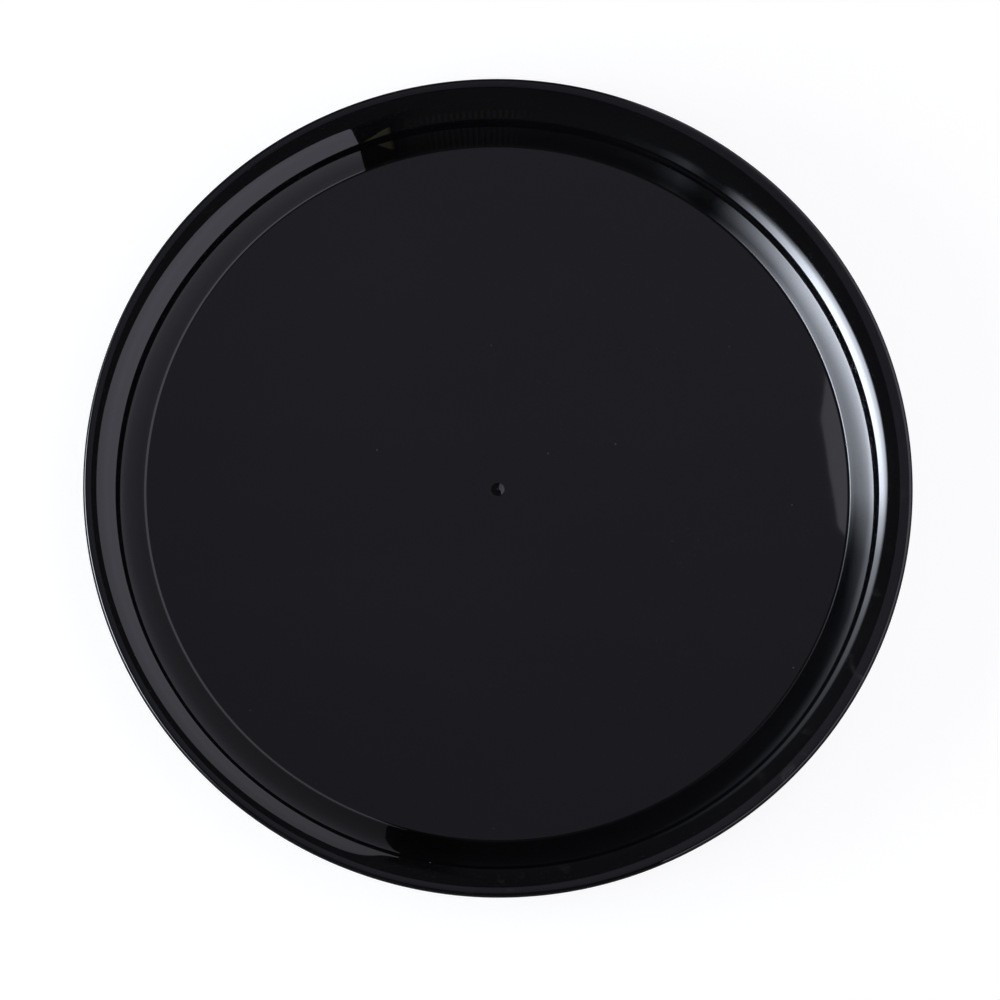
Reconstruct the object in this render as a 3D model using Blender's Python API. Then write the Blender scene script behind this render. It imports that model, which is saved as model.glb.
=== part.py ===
"""Round catering tray, injection-moulded in one piece from glossy black plastic.

A wide flat floor, a short flared wall that rolls over into the rim, and a
small turned-down lip round the outside. Metres, +Z up, origin at the centre of
the underside, on the surface that the tray stands on.
"""

import math

import bpy

# ---------------------------------------------------------------- dimensions
OUTER_RADIUS = 0.2032  # 16 in tray, over the lip
FLOOR_RADIUS = 0.1743  # where the floor's top face meets the wall
WALL_THICKNESS = 0.0018  # the same everywhere, as a moulding needs
WALL_ANGLE_FOOT = math.radians(58.2)  # steepness of the wall at the floor
# The wall leans out more and more as it rises, rolls over, and ends in a nearly
# level band round the rim. Each station is a radius and the steepness there.
STATIONS = (
    (0.1824, math.radians(54.0)),
    (0.1869, math.radians(47.9)),
    (0.1898, math.radians(42.0)),
    (0.1967, math.radians(9.4)),
    (0.1995, math.radians(8.7)),
)
FLOOR_FILLET = 0.0020  # concave, between floor and wall
EDGE_ROLL = 0.0012  # convex, crest of the rim to the lip's outer side
LIP_ANGLE = math.radians(75.0)  # the lip flares out a little as it hangs
LIP_DROP = 0.0022  # height of the lip's straight side below the roll
BOSS_RADIUS = 0.0032  # low round boss at the gate, in the centre of the floor
BOSS_HEIGHT = 0.0007
TURN_STEPS = 80  # divisible by 4, so the box is exactly the diameter

# Highest ring of the rim, where the band is level before it rolls over.
CREST_RADIUS = OUTER_RADIUS - EDGE_ROLL * math.sin(LIP_ANGLE) - LIP_DROP / math.tan(LIP_ANGLE)

# ------------------------------------------------------------------- profile
# A profile sample is (radius, height, nx, nz): a point of the top face and its
# outward normal. Steepness a is the wall's angle from the horizontal, so the
# normal of a wall that rises outwards leans in: (-sin a, cos a).


def sample(r, z, a):
    return (r, z, -math.sin(a), math.cos(a))


def bend(last, radius, a0, a1, steps):
    """Samples along an arc from steepness a0 to a1, starting at the sample last.

    Steepness falls along a convex arc and grows along a concave one.
    """
    turn = -1.0 if a1 < a0 else 1.0
    r0, z0 = last[0], last[1]
    out = []
    for i in range(1, steps + 1):
        a = a0 + (a1 - a0) * i / steps
        r = r0 + turn * radius * (math.sin(a) - math.sin(a0))
        z = z0 - turn * radius * (math.cos(a) - math.cos(a0))
        out.append(sample(r, z, a))
    return out


def bend_to(last, r, a0, a1, steps):
    """The tangent arc that starts at the sample last and ends at radius r."""
    radius = (r - last[0]) / abs(math.sin(a1) - math.sin(a0))
    return bend(last, radius, a0, a1, steps)


def straight(last, length, a):
    return [sample(last[0] + length * math.cos(a), last[1] + length * math.sin(a), a)]


def top_face():
    """The shown face, from the foot of the wall out over the rim to the lip."""
    fillet_run = FLOOR_FILLET * math.tan(0.5 * WALL_ANGLE_FOOT)
    face = [sample(FLOOR_RADIUS - fillet_run, WALL_THICKNESS, 0.0)]
    face += bend(face[-1], FLOOR_FILLET, 0.0, WALL_ANGLE_FOOT, 3)
    # Wall and rim: tangent arcs from station to station, about 5 degrees a step.
    steepness = WALL_ANGLE_FOOT
    for radius, angle in STATIONS + ((CREST_RADIUS, 0.0),):
        steps = max(1, math.ceil(math.degrees(steepness - angle) / 5.0))
        face += bend_to(face[-1], radius, steepness, angle, steps)
        steepness = angle
    # Edge roll and the short lip that hangs from it.
    face += bend(face[-1], EDGE_ROLL, 0.0, -LIP_ANGLE, 5)
    face += straight(face[-1], LIP_DROP / math.sin(LIP_ANGLE), -LIP_ANGLE)
    return face


def under_face(face):
    """The hidden face, a wall's thickness below the shown one, foot to lip.

    The roll is tighter than the wall is thick, so inside it the lip meets the
    rim's underside at a plain corner.
    """
    below = [
        (s[0] - WALL_THICKNESS * s[2], s[1] - WALL_THICKNESS * s[3]) for s in face
    ]
    crest = max(range(len(face)), key=lambda i: face[i][1])
    lip_top, lip_end = below[-2], below[-1]
    corner_z = below[crest][1]
    part = (corner_z - lip_top[1]) / (lip_end[1] - lip_top[1])
    corner = (lip_top[0] + part * (lip_end[0] - lip_top[0]), corner_z)
    kept = [p for p in below[:crest] if p[0] < corner[0] - 0.0002]
    return kept + [corner, lip_end]


def boss():
    """Spherical cap of the gate boss, from its crown to its foot on the floor."""
    ball = (BOSS_RADIUS**2 + BOSS_HEIGHT**2) / (2.0 * BOSS_HEIGHT)
    reach = math.asin(BOSS_RADIUS / ball)
    crown = WALL_THICKNESS + BOSS_HEIGHT
    steps = 6
    points = []
    for i in range(steps + 1):
        a = reach * i / steps
        points.append((ball * math.sin(a), crown - ball * (1.0 - math.cos(a))))
    return points


def lip_tip(last):
    """Half-round end of the lip, from its outer side to its inner side."""
    half = 0.5 * WALL_THICKNESS
    nx, nz = last[2], last[3]
    centre = (last[0] - half * nx, last[1] - half * nz)
    steps = 4
    points = []
    for i in range(1, steps):
        c, s = math.cos(math.pi * i / steps), math.sin(math.pi * i / steps)
        points.append((centre[0] + half * (c * nx + s * nz), centre[1] + half * (c * nz - s * nx)))
    return points


def section():
    """The tray's half section, out along the top and back along the underside."""
    face = top_face()
    points = boss()
    points += [(s[0], s[1]) for s in face]
    points += lip_tip(face[-1])
    points += reversed(under_face(face))
    points.append((0.0, 0.0))
    return points


# --------------------------------------------------------------------- scene
def clear():
    for obj in list(bpy.data.objects):
        bpy.data.objects.remove(obj, do_unlink=True)


def gloss_black():
    material = bpy.data.materials.new("black_plastic")
    material.use_nodes = True
    shader = material.node_tree.nodes["Principled BSDF"]
    shader.inputs["Base Color"].default_value = (0.012, 0.012, 0.014, 1.0)
    shader.inputs["Roughness"].default_value = 0.08
    shader.inputs["Metallic"].default_value = 0.0
    shader.inputs["IOR"].default_value = 1.59
    return material


def turned(name, points, steps):
    """A body of revolution about Z from a half section at +X."""
    mesh = bpy.data.meshes.new(name)
    edges = [(i, i + 1) for i in range(len(points) - 1)]
    mesh.from_pydata([(r, 0.0, z) for r, z in points], edges, [])
    obj = bpy.data.objects.new(name, mesh)
    bpy.context.scene.collection.objects.link(obj)
    screw = obj.modifiers.new("turn", "SCREW")
    screw.axis = "Z"
    screw.angle = 2.0 * math.pi
    screw.steps = steps
    screw.render_steps = steps
    screw.use_merge_vertices = True
    screw.merge_threshold = 0.00001
    screw.use_smooth_shade = True
    return obj


def main():
    clear()
    tray = turned("tray", section(), TURN_STEPS)
    tray.data.materials.append(gloss_black())


main()
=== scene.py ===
"""Looks of the round catering tray: fine moulded shell, glossy black plastic, soft studio panels."""

import math

import bmesh
import bpy
from mathutils import Matrix, Vector


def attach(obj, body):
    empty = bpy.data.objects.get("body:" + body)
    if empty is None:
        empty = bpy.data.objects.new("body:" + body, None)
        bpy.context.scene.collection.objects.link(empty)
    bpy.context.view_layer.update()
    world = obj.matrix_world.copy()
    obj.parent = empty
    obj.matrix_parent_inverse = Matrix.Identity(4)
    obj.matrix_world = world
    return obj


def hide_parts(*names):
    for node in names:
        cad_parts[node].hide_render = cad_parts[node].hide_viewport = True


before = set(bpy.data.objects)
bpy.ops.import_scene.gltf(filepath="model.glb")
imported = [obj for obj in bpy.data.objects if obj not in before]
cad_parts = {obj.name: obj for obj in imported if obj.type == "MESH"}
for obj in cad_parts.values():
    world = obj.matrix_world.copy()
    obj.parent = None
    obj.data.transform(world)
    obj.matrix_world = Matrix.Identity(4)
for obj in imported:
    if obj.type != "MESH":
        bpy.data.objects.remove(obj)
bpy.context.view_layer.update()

# ------------------------------------------------------------- dimensions, m
# The half section is the CAD part's own, turned much finer.
OUTER_RADIUS = 0.2032
FLOOR_RADIUS = 0.1743
WALL = 0.0018
ANGLE_FOOT = math.radians(58.2)
# Radius and steepness: the wall leans out as it rises, rolls over, and ends in
# a nearly level band round the rim.
STATIONS = (
    (0.1824, math.radians(54.0)),
    (0.1869, math.radians(47.9)),
    (0.1898, math.radians(42.0)),
    (0.1967, math.radians(9.4)),
    (0.1995, math.radians(8.7)),
)
FLOOR_FILLET = 0.0020
EDGE_ROLL = 0.0012
LIP_ANGLE = math.radians(75.0)
LIP_DROP = 0.0022
BOSS_RADIUS = 0.0032
BOSS_HEIGHT = 0.0007
TURN_STEPS = 512
CREST_RADIUS = OUTER_RADIUS - EDGE_ROLL * math.sin(LIP_ANGLE) - LIP_DROP / math.tan(LIP_ANGLE)


def link(obj):
    bpy.context.scene.collection.objects.link(obj)
    return obj


# ------------------------------------------------------------------- section
def sample(r, z, a):
    return (r, z, -math.sin(a), math.cos(a))


def bend(last, radius, a0, a1, steps):
    turn = -1.0 if a1 < a0 else 1.0
    out = []
    for i in range(1, steps + 1):
        a = a0 + (a1 - a0) * i / steps
        r = last[0] + turn * radius * (math.sin(a) - math.sin(a0))
        z = last[1] - turn * radius * (math.cos(a) - math.cos(a0))
        out.append(sample(r, z, a))
    return out


def top_face():
    run = FLOOR_FILLET * math.tan(0.5 * ANGLE_FOOT)
    face = [sample(FLOOR_RADIUS - run, WALL, 0.0)]
    face += bend(face[-1], FLOOR_FILLET, 0.0, ANGLE_FOOT, 10)
    steepness = ANGLE_FOOT
    for radius, angle in STATIONS + ((CREST_RADIUS, 0.0),):
        arc = (radius - face[-1][0]) / abs(math.sin(angle) - math.sin(steepness))
        steps = max(3, math.ceil(math.degrees(steepness - angle) / 1.3))
        face += bend(face[-1], arc, steepness, angle, steps)
        steepness = angle
    face += bend(face[-1], EDGE_ROLL, 0.0, -LIP_ANGLE, 18)
    # The lip's straight side, with a ring near its top for the shading.
    top = face[-1]
    for drop in (0.04 * LIP_DROP, 0.96 * LIP_DROP, LIP_DROP):
        face.append(sample(top[0] + drop / math.tan(LIP_ANGLE), top[1] - drop, -LIP_ANGLE))
    return face


def under_face(face):
    """A wall's thickness below the top face; inside the roll, a small rounded corner."""
    below = [(s[0] - WALL * s[2], s[1] - WALL * s[3]) for s in face]
    crest = max(range(len(face)), key=lambda i: face[i][1])
    (r0, z0), (r1, z1) = below[-4], below[-1]
    z = below[crest][1]
    part = (z - z0) / (z1 - z0)
    r = r0 + part * (r1 - r0)
    slope = (r1 - r0) / (z1 - z0)
    kept = [p for p in below[:crest] if p[0] < r - 0.0004]
    turn_r, turn_z = 0.00022, 0.00022
    corner = [(r - turn_r - 0.0001, z), (r - turn_r, z)]
    for i in range(1, 5):
        q = i / 5
        # Quadratic curve from the level side to the lip's inner side.
        a, b, c = (1 - q) ** 2, 2 * q * (1 - q), q * q
        corner.append((a * (r - turn_r) + b * r + c * (r - slope * turn_z), a * z + b * z + c * (z - turn_z)))
    corner += [(r - slope * turn_z, z - turn_z), (r - slope * (turn_z + 0.0001), z - turn_z - 0.0001)]
    return kept + corner + [below[-2], below[-1]]


def gate_boss():
    """Low spherical cap in the centre of the floor, rounded where it meets the floor."""
    ball = (BOSS_RADIUS**2 + BOSS_HEIGHT**2) / (2.0 * BOSS_HEIGHT)
    reach = math.asin(BOSS_RADIUS / ball)
    crown = WALL + BOSS_HEIGHT
    points = []
    steps = 20
    for i in range(steps):
        a = reach * i / steps
        points.append((ball * math.sin(a), crown - ball * (1.0 - math.cos(a))))
    # Foot: a short quadratic curve into the floor.
    inner_r, inner_z = points[-1]
    outer_r = BOSS_RADIUS + (BOSS_RADIUS - inner_r)
    for i in range(1, 6):
        q = i / 5
        a, b, c = (1 - q) ** 2, 2 * q * (1 - q), q * q
        points.append((a * inner_r + b * BOSS_RADIUS + c * outer_r, a * inner_z + (b + c) * WALL))
    return points


def section():
    face = top_face()
    points = gate_boss()
    # Floor rings, the outer ones close to the fillets, so that the shading
    # normals stay level across the floor.
    first, last = points[-1][0], face[0][0]
    for r in (first + 0.0001, 0.006, 0.012, 0.03, 0.07, 0.12, 0.16, last - 0.0003, last - 0.00008):
        points.append((r, WALL))
    points += [(s[0], s[1]) for s in face]
    half = 0.5 * WALL
    tip_r, tip_z, nx, nz = face[-1]
    for i in range(1, 12):
        c, s = half * math.cos(math.pi * i / 12), half * math.sin(math.pi * i / 12)
        points.append((tip_r + (c - half) * nx + s * nz, tip_z + (c - half) * nz - s * nx))
    points += reversed(under_face(face))
    for r in (face[0][0] - 0.00008, face[0][0] - 0.0003, 0.16, 0.12, 0.07, 0.03, 0.01):
        points.append((r, 0.0))
    points.append((0.0, 0.0))
    return points


def turned(name, points, steps):
    """One closed mesh of revolution about Z, with a single vertex at each pole."""
    mesh = bpy.data.meshes.new(name)
    bm = bmesh.new()
    rings = []
    for r, z in points:
        if r < 1e-9:
            rings.append([bm.verts.new((0.0, 0.0, z))])
        else:
            rings.append(
                [
                    bm.verts.new(
                        (
                            r * math.cos(2 * math.pi * k / steps),
                            r * math.sin(2 * math.pi * k / steps),
                            z,
                        )
                    )
                    for k in range(steps)
                ]
            )
    for a, b in zip(rings, rings[1:]):
        for k in range(steps):
            n = (k + 1) % steps
            if len(a) == 1:
                bm.faces.new((a[0], b[k], b[n]))
            elif len(b) == 1:
                bm.faces.new((a[k], b[0], a[n]))
            else:
                bm.faces.new((a[k], b[k], b[n], a[n]))
    bm.normal_update()
    bm.to_mesh(mesh)
    bm.free()
    mesh.shade_smooth()
    return link(bpy.data.objects.new(name, mesh))


# ------------------------------------------------------------------ material
def node(tree, kind, x=0, y=0, **values):
    n = tree.nodes.new(kind)
    n.location = (x, y)
    for k, v in values.items():
        setattr(n, k, v)
    return n


def gloss_black():
    """Black polystyrene from a polished mould: glossy, with what handling leaves on it."""
    m = bpy.data.materials.new("black_plastic")
    m.use_nodes = True
    t = m.node_tree
    p = t.nodes["Principled BSDF"]
    p.location = (1400, 0)
    p.inputs["IOR"].default_value = 1.59
    link_ = t.links.new

    def math_(op, a, b=None, c=None, clamp=False, x=0, y=0):
        n = node(t, "ShaderNodeMath", x, y, operation=op, use_clamp=clamp)
        for i, v in enumerate((a, b, c)):
            if v is None:
                continue
            if isinstance(v, (int, float)):
                n.inputs[i].default_value = v
            else:
                link_(v, n.inputs[i])
        return n.outputs[0]

    def ramp(v, a0, a1, b0=0.0, b1=1.0, smooth=True):
        n = node(t, "ShaderNodeMapRange", 0, 0)
        n.interpolation_type = "SMOOTHSTEP" if smooth else "LINEAR"
        n.clamp = True if not smooth else n.clamp
        link_(v, n.inputs["Value"])
        n.inputs["From Min"].default_value = a0
        n.inputs["From Max"].default_value = a1
        n.inputs["To Min"].default_value = b0
        n.inputs["To Max"].default_value = b1
        return n.outputs["Result"]

    def noise(vector, scale, detail=2.0, rough=0.5, distortion=0.0):
        n = node(t, "ShaderNodeTexNoise", -600, 0)
        n.inputs["Scale"].default_value = scale
        n.inputs["Detail"].default_value = detail
        n.inputs["Roughness"].default_value = rough
        n.inputs["Distortion"].default_value = distortion
        link_(vector, n.inputs["Vector"])
        return n.outputs["Fac"]

    def mapped(vector, rotation, scale):
        n = node(t, "ShaderNodeMapping", -800, 0)
        n.inputs["Rotation"].default_value = rotation
        n.inputs["Scale"].default_value = scale
        link_(vector, n.inputs["Vector"])
        return n.outputs[0]

    coords = node(t, "ShaderNodeTexCoord", -1200, 0)
    at = coords.outputs["Object"]
    split = node(t, "ShaderNodeSeparateXYZ", -1000, 200)
    link_(at, split.inputs[0])
    x, y, z = split.outputs
    facing = node(t, "ShaderNodeSeparateXYZ", -1000, -300)
    link_(coords.outputs["Normal"], facing.inputs[0])
    below = ramp(facing.outputs["Z"], -0.15, -0.45)  # 1 on the underside
    radius = math_("SQRT", math_("ADD", math_("MULTIPLY", x, x), math_("MULTIPLY", y, y)))

    # Hairline scratches from stacking and wiping: long thin streaks, three ways.
    hair = None
    for turn_z, wide, length, edge in ((0.35, 1500.0, 14.0, 0.735), (1.5, 1900.0, 20.0, 0.745), (2.5, 1300.0, 11.0, 0.74)):
        streak = noise(mapped(at, (0.0, 0.0, turn_z), (length, wide, 40.0)), 1.0, 1.0)
        line = ramp(streak, edge, edge + 0.04)
        hair = line if hair is None else math_("MAXIMUM", hair, line)
    worn = ramp(noise(at, 17.0, 4.0, 0.6), 0.46, 0.66)
    hair = math_("MULTIPLY", hair, math_("MULTIPLY_ADD", worn, 0.8, 0.2))

    # The rim rubs on other trays: fine dull patches along its crest.
    crest = ramp(z, 0.0205, 0.0248)
    rubbed = math_("MULTIPLY", ramp(noise(at, 60.0, 5.0, 0.65, 0.6), 0.56, 0.72), ramp(noise(at, 9.0, 2.0), 0.5, 0.64))
    rubbed = math_("MULTIPLY", rubbed, crest)

    # Wiping smears: broad soft changes of the gloss.
    smear = ramp(noise(mapped(at, (0.0, 0.0, 0.7), (5.0, 14.0, 8.0)), 1.0, 4.0, 0.55, 0.8), 0.35, 0.75)
    fine = noise(at, 900.0, 2.0, 0.5)

    # Flow marks of the moulding, radial from the gate.
    angle = math_("ARCTAN2", y, x)
    spokes = node(t, "ShaderNodeCombineXYZ", -700, 500)
    link_(math_("MULTIPLY", angle, 9.0), spokes.inputs[0])
    link_(math_("MULTIPLY", radius, 14.0), spokes.inputs[1])
    flow = noise(spokes.outputs[0], 1.0, 3.0, 0.6)

    # Dust: a few specks, 0.3 to 1 mm, stuck on by static.
    cells = node(t, "ShaderNodeTexVoronoi", -600, 800)
    cells.voronoi_dimensions = "2D"
    cells.feature = "F1"
    cells.inputs["Scale"].default_value = 34.0
    cells.inputs["Randomness"].default_value = 1.0
    wobble = node(t, "ShaderNodeVectorMath", -800, 800, operation="MULTIPLY_ADD")
    jitter = node(t, "ShaderNodeTexNoise", -1000, 900)
    jitter.inputs["Scale"].default_value = 1400.0
    link_(at, jitter.inputs["Vector"])
    link_(jitter.outputs["Color"], wobble.inputs[0])
    wobble.inputs[1].default_value = (0.0006, 0.0006, 0.0)
    link_(at, wobble.inputs[2])
    link_(wobble.outputs[0], cells.inputs["Vector"])
    pick = node(t, "ShaderNodeSeparateColor", -400, 900)
    link_(cells.outputs["Color"], pick.inputs[0])
    chosen = math_("GREATER_THAN", pick.outputs[0], 0.86)
    size = math_("MULTIPLY_ADD", pick.outputs[1], 0.0085, 0.0045)
    inside = math_("LESS_THAN", cells.outputs["Distance"], size)
    dust = math_("MULTIPLY", math_("MULTIPLY", inside, chosen), math_("SUBTRACT", 1.0, below))
    # And a haze of finer lint, under 0.2 mm.
    lint = ramp(noise(at, 2600.0, 0.0), 0.80, 0.84)
    dust = math_("MAXIMUM", dust, math_("MULTIPLY", lint, 0.35))

    # Colour: pigment near black, slightly greyer where rubbed, grey dust.
    tone = node(t, "ShaderNodeMix", 900, 300, data_type="RGBA")
    tone.inputs["A"].default_value = (0.0018, 0.0018, 0.0022, 1.0)
    tone.inputs["B"].default_value = (0.0034, 0.0034, 0.0038, 1.0)
    link_(smear, tone.inputs["Factor"])
    scuff = node(t, "ShaderNodeMix", 1050, 300, data_type="RGBA")
    scuff.inputs["B"].default_value = (0.022, 0.021, 0.020, 1.0)
    link_(tone.outputs["Result"], scuff.inputs["A"])
    link_(math_("MAXIMUM", rubbed, math_("MULTIPLY", hair, 0.25)), scuff.inputs["Factor"])
    speck = node(t, "ShaderNodeMix", 1200, 300, data_type="RGBA")
    speck.inputs["B"].default_value = (0.085, 0.083, 0.080, 1.0)
    link_(scuff.outputs["Result"], speck.inputs["A"])
    link_(dust, speck.inputs["Factor"])
    link_(speck.outputs["Result"], p.inputs["Base Color"])

    # Roughness: polished top, satin underside.
    gloss = math_("MULTIPLY_ADD", smear, 0.009, 0.012)
    gloss = math_("MULTIPLY_ADD", flow, 0.006, gloss)
    gloss = math_("MULTIPLY_ADD", fine, 0.005, gloss)
    gloss = math_("MULTIPLY_ADD", hair, 0.10, gloss)
    gloss = math_("MULTIPLY_ADD", rubbed, 0.16, gloss)
    gloss = math_("MULTIPLY_ADD", below, 0.24, gloss)
    gloss = math_("MULTIPLY_ADD", dust, 0.6, gloss, clamp=True)
    link_(gloss, p.inputs["Roughness"])

    # Height in metres: long sink waves, radial flow, hairlines, and turning
    # marks of the mould on the underside.
    sink = math_("MULTIPLY", noise(at, 16.0, 1.0), 0.0000030)
    ripple = math_("MULTIPLY", noise(at, 70.0, 1.0), 0.00000050)
    streams = math_("MULTIPLY", flow, 0.0000012)
    cuts = math_("MULTIPLY", hair, -0.00000025)
    rings = math_("MULTIPLY", math_("SINE", math_("MULTIPLY", radius, 5200.0)), 0.0000012)
    rings = math_("MULTIPLY", rings, below)
    height = math_("ADD", math_("ADD", sink, ripple), math_("ADD", math_("ADD", streams, cuts), rings))
    height = math_("MULTIPLY_ADD", dust, 0.00003, height)
    bump = node(t, "ShaderNodeBump", 1200, -300)
    bump.inputs["Strength"].default_value = 1.0
    bump.inputs["Distance"].default_value = 1.0
    link_(height, bump.inputs["Height"])
    link_(bump.outputs[0], p.inputs["Normal"])
    return m


# --------------------------------------------------------------------- build
tray = turned("tray_shell", section(), TURN_STEPS)
tray.data.materials.append(gloss_black())
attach(tray, "root")
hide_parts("tray")


# --------------------------------------------------------------------- stage
def aim(az, el):
    """Unit vector at azimuth az, degrees clockwise from +X seen from above, and elevation el."""
    a, e = math.radians(az), math.radians(el)
    return Vector((math.cos(e) * math.cos(a), -math.cos(e) * math.sin(a), math.sin(e)))


def emission(name, colour, strength):
    """Light whose strength is set point by point by the mesh's glow attribute."""
    m = bpy.data.materials.new(name)
    m.use_nodes = True
    t = m.node_tree
    t.nodes.clear()
    out = node(t, "ShaderNodeOutputMaterial", 600, 0)
    em = node(t, "ShaderNodeEmission", 400, 0)
    em.inputs["Color"].default_value = (*colour, 1.0)
    glow = node(t, "ShaderNodeAttribute", 0, 0, attribute_name="glow")
    scaled = node(t, "ShaderNodeMath", 200, 0, operation="MULTIPLY")
    scaled.inputs[1].default_value = strength
    t.links.new(glow.outputs["Fac"], scaled.inputs[0])
    t.links.new(scaled.outputs[0], em.inputs["Strength"])
    t.links.new(em.outputs[0], out.inputs[0])
    return m


def lit_grid(name, point, glow, nu, nv, material):
    """A panel from point(u, v) with brightness glow(u, v), u and v from 0 to 1."""
    mesh = bpy.data.meshes.new(name)
    grid = [(i / nu, j / nv) for i in range(nu + 1) for j in range(nv + 1)]
    faces = [
        (
            i * (nv + 1) + j,
            i * (nv + 1) + j + 1,
            (i + 1) * (nv + 1) + j + 1,
            (i + 1) * (nv + 1) + j,
        )
        for i in range(nu)
        for j in range(nv)
    ]
    mesh.from_pydata([tuple(point(u, v)) for u, v in grid], [], faces)
    values = [glow(u, v) for u, v in grid]
    mesh.attributes.new("glow", "FLOAT", "POINT").data.foreach_set("value", values)
    mesh.materials.append(material)
    obj = link(bpy.data.objects.new(name, mesh))
    obj.visible_camera = False
    obj.visible_shadow = False
    return obj


def between(knots):
    """Piecewise linear function through (x, y) knots."""

    def f(x):
        if x <= knots[0][0]:
            return knots[0][1]
        for (x0, y0), (x1, y1) in zip(knots, knots[1:]):
            if x <= x1:
                return y0 + (y1 - y0) * (x - x0) / (x1 - x0)
        return knots[-1][1]

    return f


def ease(x, x0, x1):
    """Smooth step from 0 at x0 to 1 at x1."""
    q = min(1.0, max(0.0, (x - x0) / (x1 - x0)))
    return q * q * (3.0 - 2.0 * q)


def dome_panel(name, low, high, az0, az1, radius, glow, material, nu=180, nv=60):
    """A panel bent round the tray: az0 to az1, between elevations low(az) and high(az)."""

    def point(u, v):
        az = az0 + (az1 - az0) * u
        return aim(az, low(az) + (high(az) - low(az)) * v) * radius

    def value(u, v):
        az = az0 + (az1 - az0) * u
        return glow(az, low(az) + (high(az) - low(az)) * v, v)

    return lit_grid(name, point, value, nu, nv, material)


# Right: a large grey card, bent over the tray at the top.
card_low = between([(-76, 3.0), (-60, 1.5), (-40, 1.0), (-10, 1.2), (20, 1.8), (63, 2.4)])
card_high = between(
    [(-76.6, 8.0), (-75.7, 11.0), (-74.6, 20.0), (-73.9, 42.0), (-73.6, 60.0), (-73.2, 64.0),
     (-70.0, 67.0), (-64.0, 70.5), (-58.0, 72.6), (-52.0, 73.4), (-49.7, 74.3), (-48.0, 75.0),
     (-43.3, 75.9), (-38.0, 76.7), (-35.0, 76.7), (-30.0, 75.7), (-20.0, 74.6), (2.6, 69.9),
     (28.0, 61.7), (50.4, 51.5), (57.0, 48.5), (60.8, 45.0), (61.6, 38.0), (62.1, 32.0),
     (62.9, 14.0), (63.2, 3.0)]
)
card_side = between([(-76, 0.62), (-65, 0.72), (-40, 0.90), (-12, 1.0), (18, 1.08), (63, 1.04)])
card_rise = between([(0, 0.86), (12, 0.88), (34, 1.0), (56, 0.92), (77, 0.94)])
dome_panel(
    "card_right",
    card_low,
    card_high,
    -76.6,
    63.2,
    1.9,
    lambda az, el, v: card_side(az) * card_rise(el),
    emission("card_grey", (0.86, 0.85, 1.0), 1.17),
    nu=260,
    nv=80,
)

# Left: a strip softbox that fades in over its front edge and out towards the
# back, with the faint spill that it leaves on the wall beyond.
soft_low = between([(112, 2.8), (136, 2.8), (180, 1.8), (212, 1.2), (252, 1.0)])
soft_edge = between([(112, 14), (134, 14), (148, 16), (159, 20.5), (170, 25), (181, 26.3), (191, 24), (201, 18), (211, 16), (252, 15)])
soft_side = between(
    [(112, 0.0034), (119, 0.005), (124.5, 0.022), (129, 0.004), (132, 0.004), (133.5, 0.02), (137, 0.10),
     (142, 0.26), (148, 0.50), (155, 0.85), (161, 0.98), (170, 1.0), (183, 0.95), (191.5, 0.74),
     (196, 0.40), (201.7, 0.18), (206, 0.14), (211.7, 0.075), (221, 0.038), (230, 0.022), (240, 0.010), (252, 0.0034)]
)


def soft_glow(az, el, v):
    edge = soft_edge(az)
    top = 1.0 - ease(el, edge - 6.5, edge + 7.0)
    # Brightest in its lower half; beyond it the panel is as dim as the room.
    rise = 1.38 - 0.6 * ease(el, 8.0, 17.0)
    return max(0.0034, soft_side(az) * top * rise)


dome_panel(
    "softbox_left",
    soft_low,
    lambda az: 38.0,
    112,
    252,
    1.7,
    soft_glow,
    emission("softbox_white", (0.82, 0.88, 1.0), 15.6),
    nu=280,
    nv=80,
)

# Dark flags at the card's two ends, and a tan stand behind the upper one.
# Their outer edges melt into the room, and fine slats stand next to the stand.
ROOM = 0.052
dome_panel(
    "flag_back",
    lambda az: 0.5,
    lambda az: 56.0,
    62.0,
    76.0,
    2.3,
    lambda az, el, v: 0.35 + 0.65 * max(ease(az, 67.0, 76.0), ease(el, 30.0, 56.0)),
    emission("flag_dark", (0.95, 0.97, 1.0), ROOM),
    40,
    40,
)
dome_panel(
    "flag_front",
    lambda az: 0.5,
    lambda az: 56.0,
    -86.0,
    -75.5,
    2.3,
    lambda az, el, v: 0.25 + 0.75 * max(1.0 - ease(az, -86.0, -80.0), ease(el, 24.0, 56.0)),
    emission("flag_dark_2", (0.95, 0.97, 1.0), ROOM),
    40,
    40,
)
dome_panel(
    "stand",
    lambda az: 1.6,
    lambda az: 2.4 + 8.5 * ease(az, 63.8, 70.0),
    64.4,
    69.8,
    2.2,
    lambda az, el, v: ease(v, 0.0, 0.15) * (1.0 - ease(v, 0.85, 1.0)) * (1.0 - ease(az, 68.6, 69.8)) * (0.7 + 0.3 * v),
    emission("stand_tan", (1.0, 0.86, 0.55), 0.34),
    40,
    20,
)
dome_panel(
    "slats",
    lambda az: 2.5,
    lambda az: 15.0,
    72.0,
    98.0,
    2.2,
    lambda az, el, v: 1.0 + 0.45 * ease(v, 0.0, 0.2) * (1.0 - ease(v, 0.75, 1.0)) * ease(az, 72, 78) * (1.0 - ease(az, 90, 98)) * (0.6 + math.sin(2.0 * math.pi * az / 1.1)),
    emission("slat_grey", (0.98, 0.98, 1.0), ROOM),
    260,
    16,
)

# Above: the dim ceiling that the floor mirrors, seen past the card's edge.
CEILING = (0.0, 0.515, 3.0)
CEILING_RADIUS = 0.515


def ceiling_point(u, v):
    a, r = 2.0 * math.pi * u, CEILING_RADIUS * v
    return Vector((CEILING[0] + r * math.cos(a), CEILING[1] + r * math.sin(a), CEILING[2]))


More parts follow.
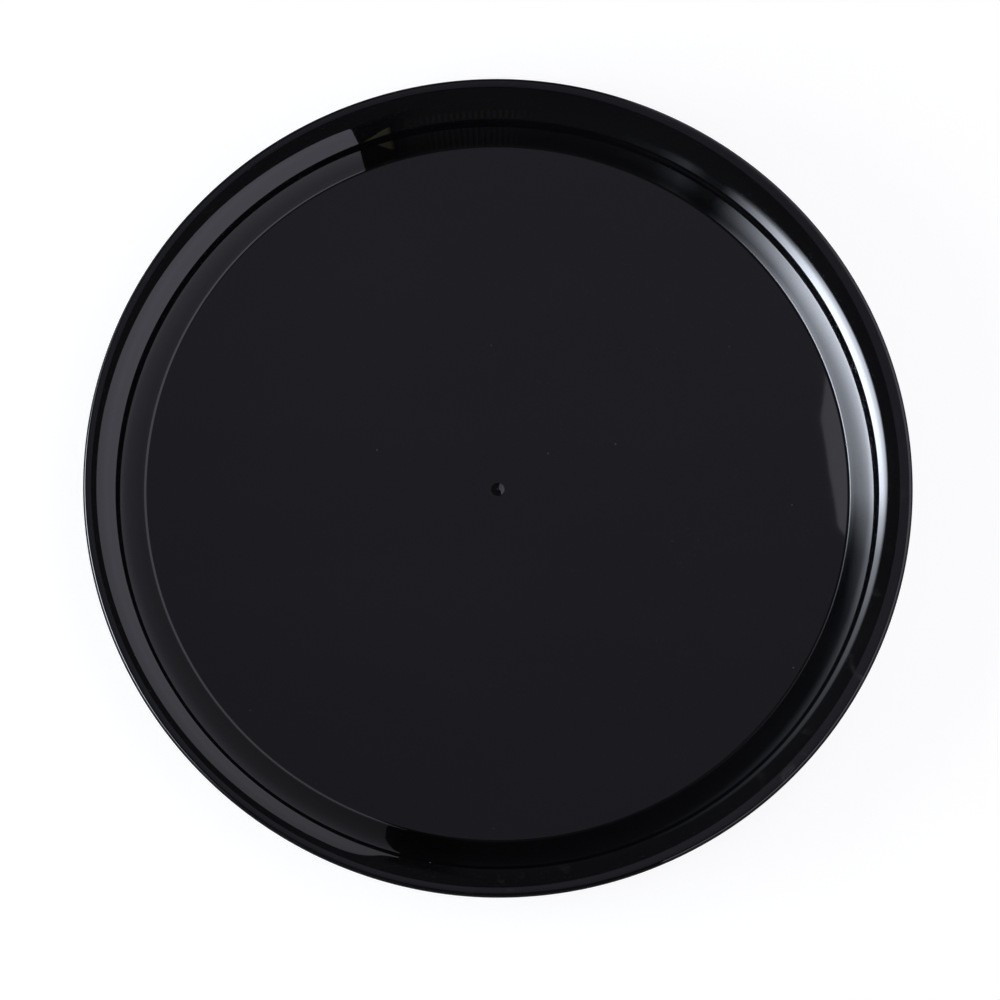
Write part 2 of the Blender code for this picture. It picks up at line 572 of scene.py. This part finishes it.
def ceiling_glow(u, v):
    p = ceiling_point(u, v)
    return (1.0 - ease(v, 0.94, 1.0)) * (0.76 + 0.24 * min(1.0, max(0.0, (p.y - 0.14) / 0.8)))


lit_grid("ceiling", ceiling_point, ceiling_glow, 96, 60, emission("ceiling_dim", (0.81, 0.77, 1.0), 0.30))

world = bpy.data.worlds.new("studio")
bpy.context.scene.world = world
world.use_nodes = True
wt = world.node_tree
background = wt.nodes["Background"]
background.inputs["Color"].default_value = (0.95, 0.97, 1.0, 1.0)
background.inputs["Strength"].default_value = ROOM
bright = node(wt, "ShaderNodeBackground", 0, -200)
bright.inputs["Color"].default_value = (0.9, 0.9, 0.9, 1.0)
path = node(wt, "ShaderNodeLightPath", -200, 200)
mix = node(wt, "ShaderNodeMixShader", 200, 0)
wt.links.new(path.outputs["Is Camera Ray"], mix.inputs[0])
wt.links.new(background.outputs[0], mix.inputs[1])
wt.links.new(bright.outputs[0], mix.inputs[2])
wt.links.new(mix.outputs[0], wt.nodes["World Output"].inputs[0])

floor_mesh = bpy.data.meshes.new("floor")
S = 6.0
floor_mesh.from_pydata(
    [(-S, -S, 0), (S, -S, 0), (S, S, 0), (-S, S, 0)], [], [(0, 1, 2, 3)]
)
floor = link(bpy.data.objects.new("floor", floor_mesh))
floor.location.z = -0.0003
fm = bpy.data.materials.new("floor_pale")
fm.use_nodes = True
ft = fm.node_tree
fp = ft.nodes["Principled BSDF"]
fp.inputs["Base Color"].default_value = (0.3, 0.3, 0.3, 1.0)
fp.inputs["Roughness"].default_value = 0.6
fp.inputs["Specular IOR Level"].default_value = 0.0
fp.inputs["Emission Color"].default_value = (1.0, 1.0, 1.0, 1.0)
fp.inputs["Emission Strength"].default_value = 0.85
dim = node(ft, "ShaderNodeBsdfDiffuse", 0, -300)
dim.inputs["Color"].default_value = (0.10, 0.10, 0.10, 1.0)
fpath = node(ft, "ShaderNodeLightPath", -300, -100)
seen = node(ft, "ShaderNodeMixShader", 200, 0)
geo = node(ft, "ShaderNodeNewGeometry", -300, 300)
clear = node(ft, "ShaderNodeBsdfTransparent", 0, 300)
fmix = node(ft, "ShaderNodeMixShader", 400, 200)
ft.links.new(geo.outputs["Backfacing"], fmix.inputs[0])
ft.links.new(fpath.outputs["Is Camera Ray"], seen.inputs[0])
ft.links.new(dim.outputs[0], seen.inputs[1])
ft.links.new(fp.outputs[0], seen.inputs[2])
ft.links.new(seen.outputs[0], fmix.inputs[1])
ft.links.new(clear.outputs[0], fmix.inputs[2])
ft.links.new(fmix.outputs[0], ft.nodes["Material Output"].inputs[0])
floor_mesh.materials.append(fm)

# -------------------------------------------------------------------- camera
# Nearly overhead: 80 degrees above the horizon, a little left of the front.
R = OUTER_RADIUS
TILT, ROLL = math.radians(9.175), math.radians(1.115)
SHIFT_X, SHIFT_Y, DISTANCE = -0.0053, -0.0259, 10.98
turn = Matrix.Rotation(ROLL, 3, "Y") @ Matrix.Rotation(TILT, 3, "X")
back_turn = turn.transposed()


def world_of(v):
    """From the camera fit's axes (y towards the viewer) to the row's."""
    p = back_turn @ Vector(v)
    return Vector((p.x, -p.y, p.z))


cam_data = bpy.data.cameras.new("camera")
cam = link(bpy.data.objects.new("camera", cam_data))
right, up, back = world_of((1, 0, 0)), world_of((0, -1, 0)), world_of((0, 0, 1))
place = world_of((-SHIFT_X, -SHIFT_Y, DISTANCE)) * R + Vector((0, 0, WALL))
basis = Matrix((right, up, back)).transposed()
cam.matrix_world = Matrix.Translation(place) @ basis.to_4x4()
cam_data.sensor_width = 36.0
cam_data.lens = 162.44
cam_data.clip_start, cam_data.clip_end = 0.05, 60.0
bpy.context.scene.camera = cam
bpy.context.scene.view_settings.view_transform = "Standard"
